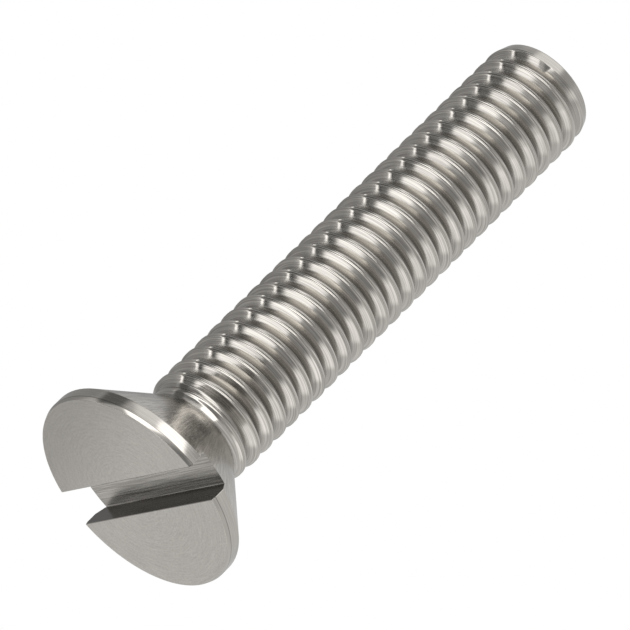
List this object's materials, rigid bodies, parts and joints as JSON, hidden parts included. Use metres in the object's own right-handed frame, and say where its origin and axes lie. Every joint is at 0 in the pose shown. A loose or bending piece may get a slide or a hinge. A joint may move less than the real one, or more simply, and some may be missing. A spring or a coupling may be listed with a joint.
{
  "type": "slotted countersunk machine screw",
  "caption": "Machine screw with a flat countersunk head, a sawn driver slot and a fine right-hand thread along its shank.",
  "frame": {"origin": "centre of the head's flat face, which the screw stands on", "axes": "+Z along the shank from the head's face to the tip, X along the driver slot, +Y towards the side the slot's middle lies on"},
  "size_m": [0.0086, 0.0088, 0.0254],
  "materials": {
    "steel": "satin turned stainless steel"
  },
  "bodies": {
    "root": {"screw": "steel"}
  },
  "joints": []
}
